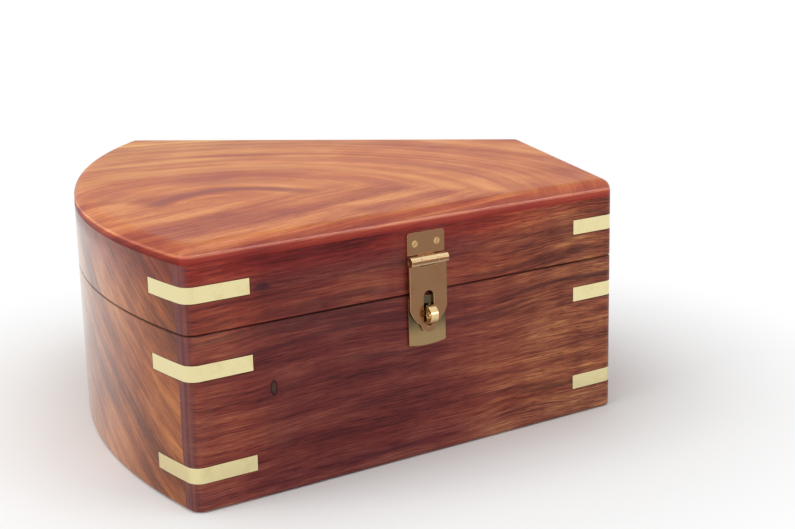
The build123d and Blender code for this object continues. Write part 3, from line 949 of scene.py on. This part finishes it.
# --- Slotted screws ---
@dataclass(frozen=True)
class ScrewSet:
    """Slotted countersunk screws that stand for one node of plain ones.

    Attributes:
        node: CAD node of the plain screws.
        outward: Direction that their heads face.
        turns: Angle of each slot in degrees.
        head_radius: Radius of a head.
        head_depth: Depth of the countersunk part.
        rim: Width of the broken edge round the face.
        rim_depth: Depth of that edge.
        shank_radius: Radius below the head.
        tip_radius: Radius at the tip.
        length: Length over all.
        slot_half: Half the width of the slot.
        slot_depth: Depth of the slot.
        sides: Sides of the rings of a screw.
        sharp: Smallest angle in degrees between faces that stay sharp.
    """

    node: str
    outward: Triple
    turns: tuple[float, ...]
    head_radius: float = 2.0 * MM
    head_depth: float = 1.0 * MM
    rim: float = 0.2 * MM
    rim_depth: float = 0.14 * MM
    shank_radius: float = 1.0 * MM
    tip_radius: float = 0.55 * MM
    length: float = 7.5 * MM
    slot_half: float = 0.28 * MM
    slot_depth: float = 0.5 * MM
    sides: int = 48
    sharp: float = 35.0

    def seats(self) -> list[Vector]:
        """Find the middle of each head's face on the CAD node.

        Returns:
            Points in the case's frame, in a fixed order.
        """
        mesh = frame["nodes"][self.node].data
        points = np.array([vertex.co for vertex in mesh.vertices], float)
        height = points @ np.array(self.outward)
        flush = 0.02 * MM
        across = self.head_radius * 2.2
        rims = points[height > height.max() - flush]
        middles: list[np.ndarray] = []
        while len(rims):
            near = np.linalg.norm(rims - rims[0], axis=1) < across
            middles.append((rims[near].min(0) + rims[near].max(0)) / 2)
            rims = rims[~near]
        return [Vector(middle) for middle in sorted(middles, key=lambda m: tuple(m.round(5)))]

    def ring(self, shape: bmesh.types.BMesh, radius: float, z: float) -> list[bmesh.types.BMVert]:
        """Add a ring of points at a height and return them, going round."""
        angles = [2 * math.pi * i / self.sides for i in range(self.sides)]
        return [shape.verts.new((radius * math.cos(a), radius * math.sin(a), z)) for a in angles]

    def blank(self) -> bpy.types.Mesh:
        """Model one screw without its slot.

        Returns:
            The mesh, head up with its face on the origin.
        """
        shape = bmesh.new()
        rings = [
            self.ring(shape, self.head_radius - self.rim, 0.0),
            self.ring(shape, self.head_radius, -self.rim_depth),
            self.ring(shape, self.shank_radius, -self.head_depth),
            self.ring(shape, self.tip_radius, -self.length),
        ]
        for upper, lower in zip(rings, rings[1:]):
            for i in range(self.sides):
                j = (i + 1) % self.sides
                shape.faces.new((upper[j], upper[i], lower[i], lower[j]))
        shape.faces.new(rings[0])
        shape.faces.new(tuple(reversed(rings[-1])))
        mesh = bpy.data.meshes.new("screw_blank")
        shape.to_mesh(mesh)
        shape.free()
        return mesh

    def slotted(self) -> bpy.types.Mesh:
        """Cut the slot into the blank.

        Returns:
            The mesh of the screw with its slot along X.
        """
        screw = bpy.data.objects.new("screw_work", self.blank())
        bpy.ops.mesh.primitive_cube_add(size=2.0)
        cutter = bpy.context.active_object
        cutter.scale = (self.head_radius * 1.2, self.slot_half, self.slot_depth)
        bpy.context.scene.collection.objects.link(screw)
        cut = screw.modifiers.new("slot", "BOOLEAN")
        cut.operation = "DIFFERENCE"
        cut.object = cutter
        cut.solver = "EXACT"
        bpy.context.view_layer.update()
        graph = bpy.context.evaluated_depsgraph_get()
        mesh = bpy.data.meshes.new_from_object(screw.evaluated_get(graph))
        for helper in (screw, cutter):
            bpy.data.objects.remove(helper)
        return mesh

    def make(self, material: bpy.types.Material) -> bpy.types.Object:
        """Model the whole set and let it stand for its node.

        Args:
            material: Finish of the screws.

        Returns:
            The new piece.
        """
        blank = self.slotted()
        shape = bmesh.new()
        aim = Vector(self.outward).to_track_quat("Z", "Y").to_matrix().to_4x4()
        for seat, turn in zip(self.seats(), self.turns, strict=True):
            start = len(shape.verts)
            shape.from_mesh(blank)
            shape.verts.ensure_lookup_table()
            place = Matrix.Translation(seat) @ aim @ Matrix.Rotation(math.radians(turn), 4, "Z")
            bmesh.ops.transform(shape, matrix=place, verts=shape.verts[start:])
        mesh = bpy.data.meshes.new(f"slotted_{self.node}")
        shape.to_mesh(mesh)
        shape.free()
        mesh.materials.append(material)
        mesh.set_sharp_from_angle(angle=math.radians(self.sharp))
        for face in mesh.polygons:
            face.use_smooth = True
        piece = bpy.data.objects.new(f"slotted_{self.node}", mesh)
        bpy.context.scene.collection.objects.link(piece)
        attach(piece, frame["nodes"][self.node]["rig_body"])
        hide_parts(self.node)
        LOG.info("%s: %d slotted screws", piece.name, len(self.turns))
        return piece


# --- Sub-assemblies ---
@dataclass(frozen=True)
class Painted:
    """CAD nodes and the material that each of them takes.

    Attributes:
        slot: Name of the record's material slot; not used.
        finishes: Material of each node.
    """

    slot: str
    finishes: dict[str, bpy.types.Material]

    def apply(self) -> None:
        """Give each node its material."""
        for node, material in self.finishes.items():
            piece = frame["nodes"][node]
            piece.data.materials.clear()
            piece.data.materials.append(material)
            LOG.info("%s: %s", node, material.name)


@dataclass(frozen=True)
class Woodwork:
    """Wooden boards of the case and the lid.

    Attributes:
        rests: Nodes that hold what lies in the case.
    """

    rests: tuple[str, ...] = ("leg_rest_1", "leg_rest_2", "leg_rest_3", "grip_cradle")

    def walls(self) -> dict[str, bpy.types.Material]:
        """Make the finishes of the straight walls and rails.

        Returns:
            The material of each node.
        """
        front = FrontFinish("front_board_wood", ROSEWOOD, WALL_VARNISH)
        back = BoardFinish("back_board_wood", ROSEWOOD, WALL_VARNISH)
        narrow = BoardFinish("narrow_board_wood", ROSEWOOD, WALL_VARNISH)
        woods = {
            ("front_board", "lid_front_rail"): front.make(Run.FRONT, Side.FRONT),
            ("back_board", "lid_back_rail"): back.make(Run.BACK, Side.BACK),
            ("narrow_end_board", "lid_narrow_rail"): narrow.make(Run.NARROW, Side.NARROW),
        }
        return {node: wood for nodes, wood in woods.items() for node in nodes}

    def build(self) -> None:
        """Finish every board and rest."""
        bent = BentSideFinish("bent_side_wood", BENT_TIMBER, SIDE_VARNISH).make()
        lid_top = LidTopFinish("lid_top_wood", LID_TIMBER, LID_VARNISH).make()
        base = BoardFinish("base_wood", INNER_TIMBER, SATIN).make(Run.LENGTHWISE)
        rest = BoardFinish("rest_wood", INNER_TIMBER, SATIN).make(Run.FRONT)
        Painted("front_wood", self.walls()).apply()
        Painted("bent_wood", {"bent_end_wall": bent, "lid_bent_rail": bent}).apply()
        Painted("lid_top_wood", {"lid_panel": lid_top}).apply()
        Painted("base_wood", {"base_board": base}).apply()
        Painted("rest_wood", {node: rest for node in self.rests}).apply()


@dataclass(frozen=True)
class Metalwork:
    """Straps, hinges, hasp and screws.

    Attributes:
        clean: Colour of clean brass.
        handled: Colour of handled brass.
        aged: Colour of aged brass.
        reddish_reflection: Colour of the hasp's flap and leaf, brass darkened and reddened as
            painted reflection.
        dark: Colour of the hasp's plate, brass darkened as painted reflection and painted shade.
        wear_and_highlight: Colour of the flap's edges, lighter partly from wear and partly as
            painted highlight.
        upright: Brushing of upright sheet, in bumps per millimetre.
        level: Brushing of level sheet.
        edge_width: Width of the broken edges of the hasp.
        edge_angle: Smallest angle in degrees of an edge that is broken.
        flat_angle: Largest angle in degrees between faces that are joined to one.
        weld_gap: Gap up to which points are one.
        plate_foot: Height in millimetres below which the plate turns halfway to aged brass; above
            it the plate keeps its painted shade under the flap.
    """

    clean: Triple = (0.81, 0.71, 0.39)
    handled: Triple = (0.74, 0.54, 0.28)
    aged: Triple = (0.55, 0.36, 0.16)
    reddish_reflection: Triple = (0.26, 0.135, 0.07)
    dark: Triple = (0.09, 0.068, 0.042)
    wear_and_highlight: Triple = (0.80, 0.60, 0.34)
    upright: Triple = (0.06, 0.06, 1.6)
    level: Triple = (1.6, 0.1, 0.1)
    edge_width: float = 0.3 * MM
    edge_angle: float = 50.0
    flat_angle: float = 1.0
    weld_gap: float = 0.001 * MM
    plate_foot: float = 80.0

    def plain(self) -> dict[str, bpy.types.Material]:
        """Make the finishes of the straps, the hinges, the pins and the staple.

        Returns:
            The material of each node.
        """
        strap = BrassFinish("strap_brass", self.clean, 0.16, self.upright, self.clean).make()
        hinge = BrassFinish("hinge_brass", self.aged, 0.2, self.level, self.handled).make()
        turning = (0.3, 0.3, 2.0)
        turned = BrassFinish("turned_brass", self.handled, 0.18, turning, self.handled).make()
        marks = {
            "_strap_": strap,
            "hinge_case_leaf_": hinge,
            "hinge_lid_leaf_": hinge,
            "_pin": turned,
            "turning_staple": turned,
        }
        return {n: brass for mark, brass in marks.items() for n in frame["nodes"] if mark in n}

    def hasp(self) -> dict[str, bpy.types.Material]:
        """Make the finishes of the hasp's sheet pieces.

        Returns:
            The material of each node.
        """
        # The flap, leaf and plate are darkened as painted reflection, the plate above its foot
        # also as painted shade under the flap, and the flap's edges lightened partly as painted
        # highlight.
        flap = BrassFinish("hasp_flap_brass", self.reddish_reflection, 0.14, self.upright, self.wear_and_highlight)
        plate = BrassFinish(
            "hasp_plate_brass", self.dark, 0.14, self.upright, self.aged, self.plate_foot
        )
        flap_brass = flap.make()
        return {"hasp_leaf": flap_brass, "hasp_flap": flap_brass, "hasp_plate": plate.make()}

    def build(self) -> None:
        """Finish every metal node and make the slotted screws."""
        hasp = self.hasp()
        Painted("brass", self.plain() | hasp).apply()
        for name in (*hasp, "turning_staple"):
            self.break_edges(frame["nodes"][name])
        shallow = (1.5, 1.5, 0.3)
        brass = BrassFinish("screw_brass", self.aged, 0.24, shallow, self.handled).make()
        ScrewSet("hinge_screws_case", UP, (20.0, 75.0, 48.0, 110.0)).make(brass)
        ScrewSet("hinge_screws_lid", DOWN, (65.0, 10.0, 130.0, 85.0)).make(brass)
        ScrewSet("hasp_leaf_screws", FORWARD, (35.0, 80.0)).make(brass)
        ScrewSet("hasp_plate_screws", FORWARD, (15.0, 120.0)).make(brass)

    def break_edges(self, piece: bpy.types.Object) -> None:
        """Round the sharp edges of a piece a little, so that they catch the light.

        Args:
            piece: The piece, whose own mesh stays as it is.
        """
        piece.modifiers.new("weld", "WELD").merge_threshold = self.weld_gap
        joined = piece.modifiers.new("joined_faces", "DECIMATE")
        joined.decimate_type = "DISSOLVE"
        joined.angle_limit = math.radians(self.flat_angle)
        bevel = piece.modifiers.new("bevel", "BEVEL")
        bevel.width = self.edge_width
        bevel.segments = 2
        bevel.limit_method = "ANGLE"
        bevel.angle_limit = math.radians(self.edge_angle)
        piece.modifiers.new("level_faces", "WEIGHTED_NORMAL").weight = 100


# --- Studio ---
@dataclass(frozen=True)
class Softbox:
    """Rectangular area lamp aimed at the case.

    Attributes:
        name: Name of the lamp.
        position: Where it stands, in metres.
        width: Width in metres.
        height: Height in metres.
        power: Watts.
    """

    name: str
    position: Triple
    width: float
    height: float
    power: float

    def light(self, target: Vector) -> None:
        """Set up the lamp.

        Args:
            target: Point that it faces.
        """
        lamp = bpy.data.lights.new(self.name, "AREA")
        lamp.energy = self.power
        lamp.shape = "RECTANGLE"
        lamp.size = self.width
        lamp.size_y = self.height
        stand = bpy.data.objects.new(self.name, lamp)
        stand.location = self.position
        stand.rotation_euler = (target - stand.location).to_track_quat("-Z", "Y").to_euler()
        bpy.context.scene.collection.objects.link(stand)
        LOG.info("%s: %.1f W", self.name, self.power)


@dataclass(frozen=True)
class Studio:
    """Pale table, white surroundings and soft lamps.

    Attributes:
        softboxes: The lamps.
        ambient: Strength of the surroundings as light.
        table_half: Half the side of the table top.
        table_drop: Gap between the table top and the case.
        table_grey: Reflectance of the table.
        fleck: Size of its flecks in millimetres.
        shaded: Distance in millimetres up to which the table shows its shade.
        white: Distance in millimetres from which it is seen as white.
        target: Point that the lamps face.
    """

    softboxes: tuple[Softbox, ...] = (
        Softbox("overhead_softbox", (-0.1, 0.0, 1.5), 1.5, 1.5, 15.0),
        Softbox("left_softbox", (-1.4, 0.1, 0.75), 1.0, 1.0, 8.5),
        Softbox("front_softbox", (1.12, -1.77, 0.57), 1.3, 0.22, 6.0),
    )
    ambient: float = 0.3
    table_half: float = 8.0
    table_drop: float = 0.2 * MM
    table_grey: float = 0.9
    fleck: float = 3.0
    shaded: float = 165.0
    white: float = 370.0
    target: Triple = (0.0, 0.0, 0.06)

    WHITE = (1.0, 1.0, 1.0)

    def seen_directly(self, graph: Graph) -> Wire:
        """Tell rays that show a surface from rays that only light others.

        Args:
            graph: Node tree to add the test to.

        Returns:
            1 for rays from the camera, off metal or through glass, else 0.
        """
        kinds = ("Is Camera Ray", "Is Glossy Ray", "Is Transmission Ray")
        rays = [graph.node("ShaderNodeLightPath", {}, {}, kind) for kind in kinds]
        return reduce(Wire.highest, rays)

    def surroundings(self) -> None:
        """White where it is seen, dimmer as light."""
        graph = Graph(bpy.data.worlds.new("surroundings"))
        strength = self.ambient + self.seen_directly(graph) * (1.0 - self.ambient)
        inputs = {"Color": self.WHITE, "Strength": strength}
        bpy.context.scene.world = graph.close(graph.node("ShaderNodeBackground", {}, inputs))

    def table(self) -> None:
        """Table top that fades to white away from the case."""
        place = (0.0, 0.0, -self.table_drop)
        bpy.ops.mesh.primitive_plane_add(size=2 * self.table_half, location=place)
        top = bpy.context.active_object
        top.name = "table_top"
        graph = Graph(bpy.data.materials.new("table_paint"))
        away = graph.place().length()
        flecks = graph.noise(graph.place() * (1.0 / self.fleck))
        shade = self.table_grey + (flecks - 0.5) * 0.01
        colour = graph.vector(shade, shade, shade * 0.995)
        paint = graph.node("ShaderNodeBsdfDiffuse", {}, {"Color": colour}, "BSDF")
        glow = graph.node("ShaderNodeEmission", {}, {"Color": self.WHITE, "Strength": 1.0})
        far = away.rise(self.shaded, self.white) * self.seen_directly(graph)
        mixed = graph.node("ShaderNodeMixShader", {}, {0: far, 1: paint, 2: glow})
        top.data.materials.append(graph.close(mixed))

    def build(self) -> None:
        """Set up the table, the surroundings and the lamps."""
        self.surroundings()
        self.table()
        for softbox in self.softboxes:
            softbox.light(Vector(self.target))
        bpy.context.scene.view_settings.view_transform = "Standard"


@dataclass(frozen=True)
class Viewpoint:
    """Camera of the photograph.

    Attributes:
        position: Place of the lens, in metres.
        heading: Angle about the vertical from the case's depth axis, in degrees.
        tilt: Angle below the horizon.
        roll: Angle about the line of sight.
        lens: Focal length in millimetres.
        sensor: Width of the sensor in millimetres.
        shift: Offset of the optical axis in picture widths.
    """

    position: Triple = (-0.47955, -0.77751, 0.29638)
    heading: float = -34.238
    tilt: float = 13.483
    roll: float = -1.351
    lens: float = 67.77
    sensor: float = 36.0
    shift: tuple[float, float] = (0.00205, 0.00258)

    def build(self) -> None:
        """Place the camera and make it the scene's."""
        data = bpy.data.cameras.new("camera")
        data.lens = self.lens
        data.sensor_width = self.sensor
        data.shift_x, data.shift_y = self.shift
        camera = bpy.data.objects.new("camera", data)
        turn = Euler((math.radians(90.0 - self.tilt), 0.0, math.radians(self.heading)))
        aim = turn.to_matrix() @ Matrix.Rotation(math.radians(self.roll), 3, "Z")
        camera.matrix_world = Matrix.Translation(self.position) @ aim.to_4x4()
        bpy.context.scene.collection.objects.link(camera)
        bpy.context.scene.camera = camera
        LOG.info("camera: lens %.2f mm", self.lens)


def main() -> None:
    """Build the scene."""
    logging.basicConfig(level=logging.INFO, format="%(message)s")
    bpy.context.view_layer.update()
    Woodwork().build()
    Metalwork().build()
    Studio().build()
    Viewpoint().build()


if __name__ == "__main__":
    main()
